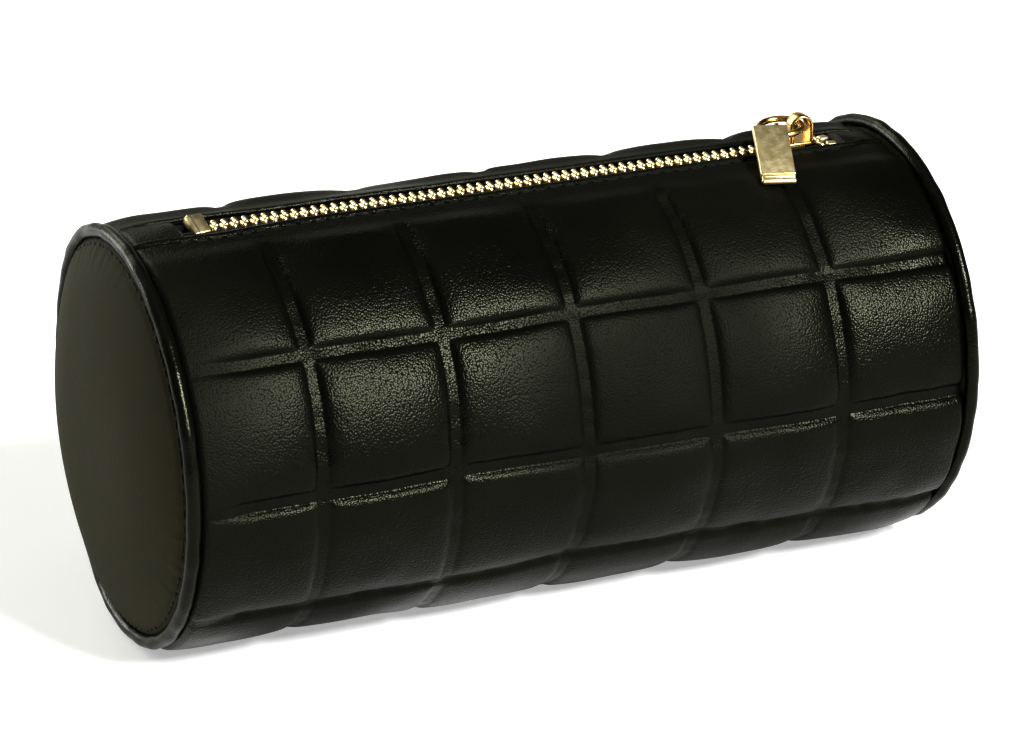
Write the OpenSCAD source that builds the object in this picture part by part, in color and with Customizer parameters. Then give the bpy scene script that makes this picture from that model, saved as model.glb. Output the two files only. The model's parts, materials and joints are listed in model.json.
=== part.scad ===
// Soft quilted leather jewellery case: a lying cylinder with round ends, welted
// seams, and a metal zip along the top. X runs along the case, +Z is up, and the
// origin is where the case rests, at the middle of its length.

/* [Case] */
// Overall length over the two end welts
case_length = 165; // [150:1:180]
// Radius of the leather body
case_radius = 41.5; // [38:0.5:45]
// How far the soft body flattens where it rests
rest_flat = 1.0; // [0.6:0.1:1.4]
// Thickness of the outer leather with its turned edges
leather_t = 1.3; // [1:0.1:1.6]
// Thickness of the foam under the quilting
padding_t = 3.5; // [2.5:0.1:4]
// Thickness of the fabric lining
lining_t = 0.8; // [0.5:0.1:1]

/* [Walls] */
// Angle from the top down to the side channel where each wall folds
fold_angle = 130.4; // [126:0.1:134]
// Angle from the top down to where the padding starts
padding_start = 14.8; // [13:0.1:17]
// Half width of the slot between the two leather lips
slot_half = 4.0; // [3.8:0.1:4.4]

/* [Ends] */
// Diameter of the welt sewn round each end
welt_d = 3.0; // [2.6:0.1:3.2]
// How far each padded end bulges past its seam at its middle
end_dome = 6.0; // [3:0.1:7]
// Number of stitches round each end seam
end_stitches = 72; // [48:1:90]

/* [Zip] */
// Distance from one tooth to the next in a row
tooth_pitch = 2.03; // [1.95:0.01:2.1]
// Width of one tooth along the chain
tooth_w = 0.95; // [0.85:0.01:0.96]
// Where the left end of the chain starts
chain_left = -62; // [-64:0.5:-60]
// Middle of the slider when the case is closed
slider_x = 60.5; // [59.5:0.1:61]
// Length of the slider
slider_l = 9.5; // [9:0.1:10]
// Width of the slider
slider_w = 6.8; // [6.4:0.1:7]

/* [Pull] */
// Length of the pull tag
tag_l = 15.4; // [14:0.1:17]
// Width of the pull tag
tag_w = 6.9; // [6:0.1:7.4]
// Thickness of the pull tag
tag_t = 1.6; // [1.2:0.1:1.9]
// Slope of the hanging tag below level
tag_slope = 27.5; // [26:0.5:29]
// Turn of the tag away from straight across the case
tag_turn = 18; // [16:0.5:20]
// Radius of the ring between the slider and the tag
pull_ring_r = 4.25; // [4:0.05:4.5]

/* [Hidden] */
$fn = 96;

half = case_length / 2;
axis_z = case_radius - rest_flat;
fold_gap = 0.15;
slit = 0.05;

// radii of the layers, from the outside in
leather_in = case_radius - leather_t;
padding_out = leather_in - slit;
padding_in = padding_out - padding_t;
lining_out = padding_in - slit;
lining_in = lining_out - lining_t;

// the layers reach this far each way from the middle
leather_half = half - 3.05;
inner_half = half - 3.3;

// zip tape, teeth and the lining's edge under them
tape_t = 0.6;
tape_out = leather_in - 0.2;
tape_in = tape_out - tape_t;
tape_start = 1.2;
tape_half = half - 4.5;
edge_lining_out = tape_in - slit;
edge_lining_in = edge_lining_out - lining_t;
edge_lining_start = 6.5;
lip_angle = asin(slot_half / case_radius);
tooth_head = 0.45;
tooth_out = 2.25;
tooth_z = axis_z + (tape_out + tape_in) / 2;
tooth_h = 1.7;
tape_slot = 0.84;

// slider
plate_t = 0.8;
plate_gap = 1.05;
post_half = 0.9;
nose_cut = 1.6;
rear_cut = 1.0;
flange_w = 0.6;
flange_h = 0.4;
flange_reach = 0.15;
plate_top = tooth_z + plate_gap + plate_t;
post_x = slider_x + 3.0;
chain_right = post_x - 2.0;
after_slider_x = slider_x + 5.8;
crown_x = slider_x + 2.1;
crown_in = 1.6;
crown_t = 0.85;
crown_w = 3.2;
crown_z = plate_top + 2.55;

// ring through the crown, and how it tips left and leans towards the front
ring_wire = 1.3;
ring_tip = 5;
ring_lean = 4;
ring_hang = 0.5;
ring_centre = [crown_x - pull_ring_r * cos(ring_tip), 0,
    crown_z + ring_hang - pull_ring_r * sin(ring_tip)];

// pull tag: its top edge's middle, and its loop round the ring
tag_top = [slider_x - 6.9, -4.5, crown_z + 1.95];
tag_up = [-sin(tag_slope) * sin(tag_turn), -sin(tag_slope) * cos(tag_turn), cos(tag_slope)];
tag_bar_place = 0.5;
tag_bar_w = 1.2;
tag_bar_rise = 0.35;
loop_place = 230;
loop_r = 1.75;
loop_wire = 0.9;
loop_slack = 0.5;
ring_point = ring_centre + pull_ring_r * [cos(loop_place) * cos(ring_tip),
    sin(loop_place) * cos(ring_lean),
    cos(loop_place) * sin(ring_tip) + sin(loop_place) * sin(ring_lean)];

// round ends: the welt's ring, the disc inside it, and the layers behind the disc
welt_r = case_radius - rest_flat - welt_d / 2 - 0.1;
welt_x = half - welt_d / 2;
disc_r = welt_r - welt_d / 2 - 0.1;
lining_x = inner_half + 0.2;
stiffener_x = lining_x + 0.6;
disc_x = half - 1.9;
disc_edge = 0.6;
end_lining_t = 0.55;

// stitches that lie on the edge of the end disc
end_stitch_l = 1.5;
end_stitch_w = 0.4;
end_stitch_t = 0.3;
seam_r = disc_r - 1.4;
seam_x = disc_x + disc_edge + 0.5;

// stops of the zip: the box at its left end, and the clips past the slider
stop_x = chain_left - 4.4;
stop_l = 3.4;
stop_w = 5.2;
stop_h = 2.3;
stop_slot = 0.9;
stop_half_web = 1.1;
stop_web = 0.15;
top_stop_x = after_slider_x + 1.5;
top_stop_y = 1.0;
top_stop_l = 2.2;
top_stop_w = 1.9;

// leather tabs: where each starts, beside the bottom stop and past the top stops
tab_t = 1.3;
tab_w = 2 * slot_half - 0.6;
tape_lift = tooth_z + 0.55;
left_tab_x = 68.8;
right_tab_x = after_slider_x + 4.6;

// stitches
stitch_angle = 7.8;
stitch_l = 2.6;
stitch_pitch = 3.5;
thread_d = 0.5;

black = [0.04, 0.04, 0.035];
gold = [0.85, 0.68, 0.36];

// a wedge of the cross-section from angle a to angle b, measured from the top
// towards the front, and big enough to cut any layer
module wedge(a, b) {
    reach = case_radius * 1.6;
    steps = 6;
    polygon(concat([[0, 0]],
        [for (i = [0 : steps]) let (t = a + (b - a) * i / steps)
            [-reach * sin(t), reach * cos(t)]]));
}

// part of a round layer between two radii and two angles
module arc_layer(r_in, r_out, a, b) {
    intersection() {
        difference() {
            circle(r_out, $fn = 180);
            circle(r_in, $fn = 180);
        }
        wedge(a, b);
    }
}

// an outline drawn in Y and Z round the case's axis, run along X both ways
module along_case(half_l) {
    translate([-half_l, 0, axis_z]) rotate([90, 0, 90])
        linear_extrude(2 * half_l) children();
}

// the outline cut off level where the case rests
module resting(lift) {
    intersection() {
        children();
        translate([-case_radius * 2, lift - axis_z])
            square([case_radius * 4, case_radius * 4]);
    }
}

// the part of the body between the two side channels
module base_leather() {
    a = fold_angle + fold_gap;
    color(black) along_case(leather_half) intersection() {
        difference() {
            resting(0) circle(case_radius, $fn = 180);
            resting(leather_t) circle(leather_in, $fn = 180);
        }
        wedge(a, 360 - a);
    }
}

module base_padding() {
    a = fold_angle + fold_gap;
    color([0.75, 0.72, 0.6]) along_case(inner_half) intersection() {
        difference() {
            resting(leather_t + slit) circle(padding_out, $fn = 180);
            circle(padding_in, $fn = 180);
        }
        wedge(a, 360 - a);
    }
}

module base_lining() {
    a = fold_angle + fold_gap;
    color([0.12, 0.12, 0.12]) along_case(inner_half)
        arc_layer(lining_in, lining_out, a, 360 - a);
}

// the layers of one wall, drawn for the front one
module wall_leather() {
    color(black) along_case(leather_half)
        arc_layer(leather_in, case_radius, lip_angle, fold_angle - fold_gap);
}

module wall_padding() {
    color([0.75, 0.72, 0.6]) along_case(inner_half)
        arc_layer(padding_in, padding_out, padding_start, fold_angle - fold_gap);
}

// the lining steps up to the tape in front of the padding
module wall_lining() {
    step = padding_start - 1.3;
    color([0.12, 0.12, 0.12]) along_case(inner_half) {
        arc_layer(lining_in, lining_out, step, fold_angle - fold_gap);
        arc_layer(edge_lining_in, edge_lining_out, edge_lining_start, padding_start - 0.1);
        arc_layer(lining_in, edge_lining_out, step, padding_start - 0.1);
    }
}

module zip_tape() {
    start = asin(tape_start / tape_out);
    color([0.03, 0.03, 0.03]) along_case(tape_half)
        arc_layer(tape_in, tape_out, start, padding_start - 0.1);
}

// one metal tooth clenched over the edge of the front tape, or drawn back from the
// middle where the rows part
module tooth(x, back = 0) {
    translate([x - tooth_w / 2, -tooth_out - back, tooth_z - tooth_h / 2]) difference() {
        cube([tooth_w, tooth_out + tooth_head, tooth_h]);
        translate([-1, -1, (tooth_h - tape_slot) / 2])
            cube([tooth_w + 2, tooth_out - tape_start + 1.05 + back, tape_slot]);
    }
}

// a row of teeth: the meshed run, and one tooth past the slider
module zip_teeth(shift) {
    color(gold) {
        for (x = [chain_left + shift : tooth_pitch : chain_right]) tooth(x);
        tooth(after_slider_x + shift / 2, 0.6);
    }
}

// clip that ends a row of teeth at the closed end
module top_stop() {
    color(gold) translate([top_stop_x, -top_stop_y - top_stop_w, tooth_z - tooth_h / 2])
        difference() {
            cube([top_stop_l, top_stop_w, tooth_h]);
            translate([-1, -1, (tooth_h - tape_slot) / 2])
                cube([top_stop_l + 2, top_stop_w + 1 - stop_web, tape_slot]);
        }
}

// a row of stitches along the lip, between the two zip tabs
module topstitching() {
    reach = floor((leather_half - 12) / stitch_pitch) * stitch_pitch;
    color([0.05, 0.05, 0.05])
        for (x = [-reach : stitch_pitch : reach])
            translate([x, 0, axis_z]) rotate([stitch_angle, 0, 0])
                translate([-stitch_l / 2, -thread_d / 2, case_radius + 0.02])
                    cube([stitch_l, thread_d, thread_d * 0.6]);
}

// round pieces of one end, drawn for the right end
module end_disc(r, x, t) {
    translate([x, 0, axis_z]) rotate([0, 90, 0]) cylinder(h = t, r = r, $fn = 144);
}

module end_panel() {
    dome_r = (disc_r * disc_r + end_dome * end_dome) / (2 * end_dome);
    color([0.07, 0.07, 0.055]) intersection() {
        end_disc(disc_r, disc_x, disc_edge + end_dome + 1);
        translate([disc_x + disc_edge + end_dome - dome_r, 0, axis_z]) sphere(dome_r);
    }
}

module end_stiffener() {
    color([0.5, 0.45, 0.35]) end_disc(disc_r - 0.1, stiffener_x, disc_x - stiffener_x - slit);
}

module end_lining() {
    color([0.12, 0.12, 0.12]) end_disc(disc_r - 0.1, lining_x, end_lining_t);
}

module ring(tube_out, tube_in) {
    translate([welt_x, 0, axis_z]) rotate([0, 90, 0]) rotate_extrude($fn = 144)
        translate([welt_r, 0]) difference() {
            circle(tube_out, $fn = 32);
            if (tube_in > 0) circle(tube_in, $fn = 32);
        }
}

module piping() { color(black) ring(welt_d / 2, welt_d / 2 - 0.55); }

module piping_cord() { color([0.8, 0.8, 0.75]) ring(welt_d / 2 - 0.6, 0); }

// stitches that lie across the edge of the end disc
module end_stitching() {
    color([0.05, 0.05, 0.05])
        for (i = [0 : end_stitches - 1])
            translate([seam_x, 0, axis_z]) rotate([i * 360 / end_stitches, 0, 0])
                translate([0, -end_stitch_l / 2, seam_r])
                    cube([end_stitch_t, end_stitch_l, end_stitch_w]);
}

// leather tab that fills the slot between the lips at each end
module zip_tab(inner_x) {
    color(black) translate([inner_x, -tab_w / 2, tape_lift])
        cube([leather_half - inner_x, tab_w, tab_t]);
}

// metal box that joins the two tapes below the last teeth, slotted for each tape
module zip_bottom_stop() {
    color(gold) translate([stop_x, -stop_w / 2, tooth_z - stop_h / 2]) difference() {
        cube([stop_l, stop_w, stop_h]);
        for (y = [-1, stop_w / 2 + stop_half_web])
            translate([-1, y, (stop_h - stop_slot) / 2])
                cube([stop_l + 2, stop_w / 2 + 1 - stop_half_web, stop_slot]);
    }
}

// slider: two plates joined by a post at the nose, with guide flanges
module slider_body() {
    color(gold) {
        for (z = [tooth_z - plate_gap - plate_t, tooth_z + plate_gap])
            translate([slider_x, 0, z]) linear_extrude(plate_t) slider_outline();
        translate([post_x, 0, tooth_z - plate_gap]) cylinder(h = 2 * plate_gap, r = post_half);
        for (side = [-1, 1], level = [-1, 1])
            translate([slider_x - slider_l / 2,
                side * (slider_w - flange_w) / 2 - flange_w / 2,
                tooth_z + level * (plate_gap - flange_reach) - flange_h / 2])
                cube([slider_l * 0.7, flange_w, flange_h]);
    }
}

// slider plate seen from above, with its corners cut more at the nose
module slider_outline() {
    l = slider_l / 2;
    w = slider_w / 2;
    polygon([[-l, -w + rear_cut], [-l + rear_cut, -w], [l - nose_cut, -w],
        [l, -w + nose_cut], [l, w - nose_cut], [l - nose_cut, w],
        [-l + rear_cut, w], [-l, w - rear_cut]]);
}

// arch over the slider's nose that the ring passes through
module slider_crown() {
    legs = crown_z - plate_top - 0.01;
    color(gold) translate([crown_x, crown_w / 2, crown_z]) rotate([90, 0, 0])
        linear_extrude(crown_w) difference() {
            union() {
                circle(crown_in + crown_t);
                translate([-crown_in - crown_t, -legs])
                    square([2 * (crown_in + crown_t), legs]);
            }
            circle(crown_in);
            translate([-crown_in, -legs - 1]) square([2 * crown_in, legs + 1]);
        }
}

module pull_ring() {
    color(gold) translate(ring_centre) rotate([ring_lean, -ring_tip, 0])
        rotate_extrude() translate([pull_ring_r, 0]) circle(ring_wire / 2, $fn = 32);
}

// flat tag with a raised end bar, and the loop that holds it on the ring
module pull_tag() {
    color(gold) {
        translate(tag_top) rotate([0, 0, -tag_turn]) rotate([tag_slope, 0, 0]) {
            translate([-tag_w / 2, -tag_l, -tag_t / 2]) cube([tag_w, tag_l, tag_t]);
            translate([-tag_w / 2, -tag_l + tag_bar_place, 0])
                cube([tag_w, tag_bar_w, tag_t / 2 + tag_bar_rise]);
        }
        translate(ring_point + loop_slack * tag_up) rotate([0, 90, loop_place - 270])
            rotate_extrude() translate([loop_r, 0]) circle(loop_wire / 2, $fn = 32);
    }
}

module front_leather() { wall_leather(); }
module front_padding() { wall_padding(); }
module front_lining() { wall_lining(); }
module front_zip_tape() { zip_tape(); }
module front_zip_teeth() { zip_teeth(0); }
module front_top_stop() { top_stop(); }
module front_topstitching() { topstitching(); }
module rear_leather() { mirror([0, 1, 0]) wall_leather(); }
module rear_padding() { mirror([0, 1, 0]) wall_padding(); }
module rear_lining() { mirror([0, 1, 0]) wall_lining(); }
module rear_zip_tape() { mirror([0, 1, 0]) zip_tape(); }
module rear_zip_teeth() { mirror([0, 1, 0]) zip_teeth(tooth_pitch / 2); }
module rear_top_stop() { mirror([0, 1, 0]) top_stop(); }
module rear_topstitching() { mirror([0, 1, 0]) topstitching(); }
module right_end_panel() { end_panel(); }
module right_end_stiffener() { end_stiffener(); }
module right_end_lining() { end_lining(); }
module right_piping() { piping(); }
module right_piping_cord() { piping_cord(); }
module right_end_stitching() { end_stitching(); }
module right_zip_tab() { zip_tab(right_tab_x); }
module left_end_panel() { mirror([1, 0, 0]) end_panel(); }
module left_end_stiffener() { mirror([1, 0, 0]) end_stiffener(); }
module left_end_lining() { mirror([1, 0, 0]) end_lining(); }
module left_piping() { mirror([1, 0, 0]) piping(); }
module left_piping_cord() { mirror([1, 0, 0]) piping_cord(); }
module left_end_stitching() { mirror([1, 0, 0]) end_stitching(); }
module left_zip_tab() { mirror([1, 0, 0]) zip_tab(left_tab_x); }

base_leather();
base_padding();
base_lining();
left_end_panel();
left_end_stiffener();
left_end_lining();
left_piping();
left_piping_cord();
left_end_stitching();
left_zip_tab();
right_end_panel();
right_end_stiffener();
right_end_lining();
right_piping();
right_piping_cord();
right_end_stitching();
right_zip_tab();
zip_bottom_stop();
front_leather();
front_padding();
front_lining();
front_zip_tape();
front_zip_teeth();
front_top_stop();
front_topstitching();
rear_leather();
rear_padding();
rear_lining();
rear_zip_tape();
rear_zip_teeth();
rear_top_stop();
rear_topstitching();
slider_body();
slider_crown();
pull_ring();
pull_tag();
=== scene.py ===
"""Visual model of the quilted leather jewellery case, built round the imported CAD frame."""
import json
import math

import bmesh
import bpy
import numpy as np
from mathutils import Matrix, Vector


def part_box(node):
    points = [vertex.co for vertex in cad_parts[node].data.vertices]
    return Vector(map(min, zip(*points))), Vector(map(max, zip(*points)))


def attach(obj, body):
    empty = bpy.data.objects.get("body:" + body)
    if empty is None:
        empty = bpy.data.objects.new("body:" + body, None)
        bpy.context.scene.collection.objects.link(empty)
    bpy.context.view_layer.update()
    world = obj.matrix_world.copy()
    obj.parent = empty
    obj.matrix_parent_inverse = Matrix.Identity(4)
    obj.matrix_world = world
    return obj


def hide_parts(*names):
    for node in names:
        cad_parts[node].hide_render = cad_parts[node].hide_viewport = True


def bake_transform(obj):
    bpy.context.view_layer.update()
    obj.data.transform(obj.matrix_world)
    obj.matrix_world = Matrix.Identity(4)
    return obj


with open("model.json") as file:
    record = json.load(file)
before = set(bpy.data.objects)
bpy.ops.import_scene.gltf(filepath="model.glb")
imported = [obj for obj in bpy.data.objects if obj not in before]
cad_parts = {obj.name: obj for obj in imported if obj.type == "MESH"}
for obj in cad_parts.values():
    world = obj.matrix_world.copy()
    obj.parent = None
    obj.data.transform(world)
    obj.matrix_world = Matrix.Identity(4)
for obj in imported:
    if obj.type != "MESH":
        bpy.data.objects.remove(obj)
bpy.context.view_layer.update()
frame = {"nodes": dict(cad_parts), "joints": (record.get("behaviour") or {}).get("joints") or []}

MM = 0.001

# ---------------------------------------------------------------- the case's own sizes, in mm
leather_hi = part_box("base_leather")[1]
front_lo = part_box("front_leather")[0]
piping_lo, piping_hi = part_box("right_piping")
AXIS_Z = (piping_lo.z + piping_hi.z) / 2 / MM          # height of the cylinder's axis
RADIUS = abs(front_lo.y) / MM                          # outer radius of the quilted body
HALF = piping_hi.x / MM                                # half the length over the welts
BODY_HALF = leather_hi.x / MM                          # half the length of the body leather
WELT_R = {"left": 39.6, "right": 40.2}                 # radius of each welt's centre line
END_Z = {"left": 40.95, "right": 41.5}                 # height of the middle of each end
WELT_T = (piping_hi.x - piping_lo.x) / 2 / MM          # radius of the welt itself
WELT_X = HALF - WELT_T
CORD_SHARE = 0.6                                       # cord's radius, to the welt's

hinge = {j["name"]: j for j in frame["joints"]}
FOLD = math.degrees(math.atan2(-hinge["front_wall_fold"]["pos_m"][1],
                               hinge["front_wall_fold"]["pos_m"][2] - AXIS_Z * MM))

SQUARE_X = 27.06       # width of a quilted square along the case
CHANNEL_X = -1.4       # middle ring channel
RING_CHANNELS = [CHANNEL_X + SQUARE_X * i for i in range(-2, 3)]
SQUARE_U = 27.9        # height of a quilted square round the case
FIRST_U = 38.4         # first lengthways channel, round from the zip
PAD_START = 10.4       # where the padding begins, round from the zip
LIP_U = 4.0            # edge of the leather lip, round from the zip
STITCH_IN = 1.7        # stitch line, in from the lip's edge
MARGIN_DROP = 0.8      # how far the plain margin by the zip lies under the pads
BAND = 1.05            # half width of a channel's flat band
DEPTH = 1.7            # how deep the channels lie under the pads
CREST = 10.0           # a pad rises until this far from its channel
WAIST_U = 75           # leather hangs slack beyond this, round from the zip
STOP_SPOT = -64        # the lips bow out round this place beside the bottom stop
BOW = 1.5              # how far they bow out there
PAST_SLIDER = 72       # the lips draw in from here to the right end
EDGE_ROLL = 1.3        # width of the rolled rim of the body leather
TAPER = 9              # length over which the body draws in towards each end seam
REST_Z = 0.05          # lowest point of the body, just over the floor
POLISH_SEED = 1689     # places the patches that handling has polished
CIRCUM_HALF = math.pi * RADIUS

# distances round from the zip of the lengthways channels on one side
LONG_CHANNELS = [FIRST_U + SQUARE_U * i for i in range(4)]


def smooth(t):
    t = np.clip(t, 0, 1)
    return t * t * (3 - 2 * t)


def channel(d, slack):
    """Pad height at a distance from a channel's middle, 0 in the channel to 1 on the pad.
    The leather rises in a rounder way where it hangs slack."""
    past = np.clip(d - BAND, 0, None)
    return 0.40 * (1 - np.exp(-(past / 0.55) ** 1.3)) \
        + 0.30 * (1 - np.exp(-(past / (1.0 + 1.6 * slack)) ** 1.3)) \
        + 0.30 * (1 - (1 - np.clip(past / CREST, 0, 1)) ** 2.4)


def value_noise(x, u, scale_x, scale_u, seed):
    """Smooth seeded noise from -1 to 1 on the body's skin, with no step where the skin
    meets itself round the body."""
    rng = np.random.default_rng(seed)
    count = max(4, round(2 * CIRCUM_HALF / scale_u))
    table = rng.uniform(-1, 1, (256, count))
    gx, gy = x / scale_x + 64, u / (2 * CIRCUM_HALF) * count
    ix, iy = np.floor(gx).astype(int), np.floor(gy).astype(int)
    fx, fy = smooth(gx - ix), smooth(gy - iy)
    low = table[ix % 256, iy % count] * (1 - fx) + table[(ix + 1) % 256, iy % count] * fx
    high = table[ix % 256, (iy + 1) % count] * (1 - fx) \
        + table[(ix + 1) % 256, (iy + 1) % count] * fx
    return low * (1 - fy) + high * fy


def lip_edge(x):
    """Edge of the leather lip, round from the zip: it bows out beside the bottom stop, and
    draws in past the slider."""
    return LIP_U + BOW * np.exp(-((x - STOP_SPOT) / 11) ** 2) \
        - 0.9 * smooth((x - PAST_SLIDER) / 3)


def quilt_height(x, s):
    """Height of the leather over the plain cylinder, in mm, at x along the case and s
    round from the zip by way of the front."""
    u = np.minimum(s, 2 * CIRCUM_HALF - s)
    wander = 0.35 * value_noise(x, s, 23, 21, 3)
    left_fade = smooth((x + BODY_HALF - 2.5) / 9)
    d_ring = np.min([np.abs(x - c + wander) for c in RING_CHANNELS], axis=0)
    d_long = np.min([np.abs(u - c + wander * 0.8) for c in LONG_CHANNELS], axis=0)
    ring_fade = smooth((u - PAD_START + 1.0) / 8) * (1 - 0.55 * smooth((u - 64) / 12))
    slack = smooth((u - WAIST_U) / 15)
    ring = 1 - (1 - channel(d_ring, 0.4)) * ring_fade
    long_fade = 0.25 + 0.75 * left_fade
    long = 1 - (1 - channel(d_long, slack)) * long_fade
    start = smooth((u - PAD_START + 1.2) / 5.0)
    height = DEPTH * (ring * long - 1) * np.maximum(start, 0.1)
    height += (start - 1) * MARGIN_DROP
    # the lip: a stitch groove, and the turned edge puffed beside it
    from_lip = u - lip_edge(x)
    height -= 0.32 * np.exp(-((from_lip - STITCH_IN) / 0.45) ** 2)
    height += 0.35 * np.exp(-((from_lip - 0.6) / 0.8) ** 2)
    # soft unevenness of the padding and the skin
    height += 0.55 * value_noise(x, s, 21, 18, 11) * start
    height += 0.22 * value_noise(x, s, 7.3, 6.7, 12) * (0.4 + 0.6 * start)
    # pinches that run out of the channels
    pinch_ring = np.exp(-np.clip(d_ring - BAND, 0, None) / 1.8) * ring_fade
    pinch_long = np.exp(-np.clip(d_long - BAND, 0, None) / 1.8) * long_fade
    height += 0.2 * pinch_ring * value_noise(x, s, 7.5, 1.9, 21)
    height += 0.2 * pinch_long * value_noise(x, s, 2.1, 8.0, 22)
    return height


def barrel(x):
    """How far the body draws in towards the end seams, and rolls in at its edge."""
    t = np.clip((np.abs(x) - (BODY_HALF - TAPER)) / TAPER, 0, 1)
    edge = np.clip((np.abs(x) - (BODY_HALF - EDGE_ROLL)) / EDGE_ROLL, 0, 1)
    return 0.7 * t ** 2.2 + 1.0 * edge ** 2.5


FLATTEN_Z = 4           # the bottom starts to flatten under this height
FLATTEN = 0.4           # how softly it flattens


def body_point(x, s, height):
    """Point on the body in mm, with the bottom flattened where it rests."""
    a = s / RADIUS
    r = RADIUS + height - barrel(x)
    y = -r * np.sin(a)
    z = AXIS_Z + r * np.cos(a)
    flat = FLATTEN * np.logaddexp(0, (z - REST_Z) / FLATTEN) + REST_Z
    z = np.where(z < FLATTEN_Z, flat, z)
    return np.stack([x + 0 * a, y, z], -1)


# ---------------------------------------------------------------- mesh helpers

def add_object(name, verts_mm, faces):
    """Smooth-shaded object from points in mm."""
    mesh = bpy.data.meshes.new(name)
    mesh.from_pydata((np.asarray(verts_mm, float) * MM).tolist(), [], faces)
    mesh.validate()
    mesh.update()
    mesh.polygons.foreach_set("use_smooth", [True] * len(mesh.polygons))
    obj = bpy.data.objects.new(name, mesh)
    bpy.context.scene.collection.objects.link(obj)
    return obj


def fix_normals(obj):
    """Turns every face outward, and keeps the rim of each end cap crisp."""
    bm = bmesh.new()
    bm.from_mesh(obj.data)
    bmesh.ops.recalc_face_normals(bm, faces=bm.faces)
    for face in bm.faces:
        if len(face.verts) > 4:
            for edge in face.edges:
                edge.smooth = False
    bm.to_mesh(obj.data)
    bm.free()
    return obj


def loft(name, rings, closed_path=False):
    """Skin over a list of closed rings of points (rings x points x 3, in mm), capped at
    both ends or joined into a loop."""
    rings = np.asarray(rings, float)
    n, m = rings.shape[:2]
    faces = []
    for i in range(n if closed_path else n - 1):
        a, b = i * m, ((i + 1) % n) * m
        for j in range(m):
            k = (j + 1) % m
            faces.append((a + j, a + k, b + k, b + j))
    if not closed_path:
        faces.append(tuple(range(m))[::-1])
        faces.append(tuple((n - 1) * m + j for j in range(m)))
    return fix_normals(add_object(name, rings.reshape(-1, 3), faces))


def body_shell(name, xs, s_of_x, outer, inner):
    """Closed shell round part of the body. s_of_x gives the places round the body at
    each x; outer and inner give the two faces' heights over the plain cylinder."""
    ss = np.array([s_of_x(x) for x in xs])
    xx = np.repeat(np.asarray(xs)[:, None], ss.shape[1], axis=1)
    rings = np.concatenate([body_point(xx, ss, outer(xx, ss)),
                            body_point(xx, ss, inner(xx, ss))[:, ::-1]], axis=1)
    shell = loft(name, rings)
    polish = value_noise(xx, ss, 27, 25, POLISH_SEED)
    layer = shell.data.attributes.new("polish", "FLOAT", "POINT")
    layer.data.foreach_set("value", np.concatenate([polish, polish[:, ::-1]], axis=1).ravel())
    return shell


def merge(name, parts):
    """One object from several (verts, faces) pairs in mm."""
    verts, faces, base = [], [], 0
    for v, f in parts:
        verts.append(np.asarray(v, float))
        faces += [tuple(i + base for i in face) for face in f]
        base += len(v)
    return fix_normals(add_object(name, np.concatenate(verts), faces))


def capsule(length, radius, flat=1.0, segments=8, rings=3):
    """(verts, faces) of a round-ended thread along X."""
    half = length / 2
    profile = [(-half + radius * (1 - math.cos(math.pi / 2 * i / rings)),
                radius * math.sin(math.pi / 2 * i / rings)) for i in range(1, rings + 1)]
    profile += [(-x, r) for x, r in reversed(profile)]
    verts = []
    for x, r in profile:
        for j in range(segments):
            b = 2 * math.pi * j / segments
            verts.append((x, r * math.cos(b), r * math.sin(b) * flat))
    faces = []
    for i in range(len(profile) - 1):
        for j in range(segments):
            k = (j + 1) % segments
            faces.append((i * segments + j, i * segments + k,
                          (i + 1) * segments + k, (i + 1) * segments + j))
    verts.append((-half, 0, 0))
    verts.append((half, 0, 0))
    last = (len(profile) - 1) * segments
    for j in range(segments):
        k = (j + 1) % segments
        faces.append((len(verts) - 2, k, j))
        faces.append((len(verts) - 1, last + j, last + k))
    return np.array(verts), faces


def bevelled_box(size, bevel, segments=3):
    """(verts, faces) of a box with rounded edges, centred on the origin."""
    bm = bmesh.new()
    bmesh.ops.create_cube(bm, size=1)
    bmesh.ops.scale(bm, vec=size, verts=bm.verts)
    bmesh.ops.bevel(bm, geom=bm.edges[:], offset=bevel, segments=segments, profile=0.5,
                    affect="EDGES")
    bm.verts.index_update()
    verts = np.array([v.co[:] for v in bm.verts])
    faces = [tuple(v.index for v in f.verts) for f in bm.faces]
    bm.free()
    return verts, faces


def finish_piece(obj, slot, material, *nodes):
    """Gives a piece its material, and hides the CAD nodes that it stands for; the slot is not
    used.
    """
    obj.data.materials.clear()
    obj.data.materials.append(material)
    if nodes:
        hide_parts(*nodes)
    return obj


# ---------------------------------------------------------------- materials

def new_material(name):
    material = bpy.data.materials.new(name)
    material.use_nodes = True
    return material, material.node_tree.nodes, material.node_tree.links


def shader(nodes):
    return nodes["Principled BSDF"]


def coordinates(nodes):
    """Object coordinates, in metres."""
    return nodes.new("ShaderNodeTexCoord").outputs["Object"]


def texture(nodes, links, kind, vector, **inputs):
    """Texture node; its inputs are given by name, with _ for a space."""
    node = nodes.new(kind)
    links.new(vector, node.inputs["Vector"])
    for key, value in inputs.items():
        node.inputs[key.replace("_", " ")].default_value = value
    return node


def ramp(nodes, links, value, low, high, colour_low, colour_high):
    node = nodes.new("ShaderNodeValToRGB")
    node.color_ramp.elements[0].position = low
    node.color_ramp.elements[0].color = (*colour_low, 1)
    node.color_ramp.elements[1].position = high
    node.color_ramp.elements[1].color = (*colour_high, 1)
    links.new(value, node.inputs["Fac"])
    return node.outputs["Color"]


def map_range(nodes, links, value, low, high, to_low, to_high):
    node = nodes.new("ShaderNodeMapRange")
    node.inputs["From Min"].default_value = low
    node.inputs["From Max"].default_value = high
    node.inputs["To Min"].default_value = to_low
    node.inputs["To Max"].default_value = to_high
    links.new(value, node.inputs["Value"])
    return node.outputs["Result"]


def bump(nodes, links, height, distance, under=None):
    node = nodes.new("ShaderNodeBump")
    node.inputs["Distance"].default_value = distance
    links.new(height, node.inputs["Height"])
    if under is not None:
        links.new(under, node.inputs["Normal"])
    return node.outputs["Normal"]


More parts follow.
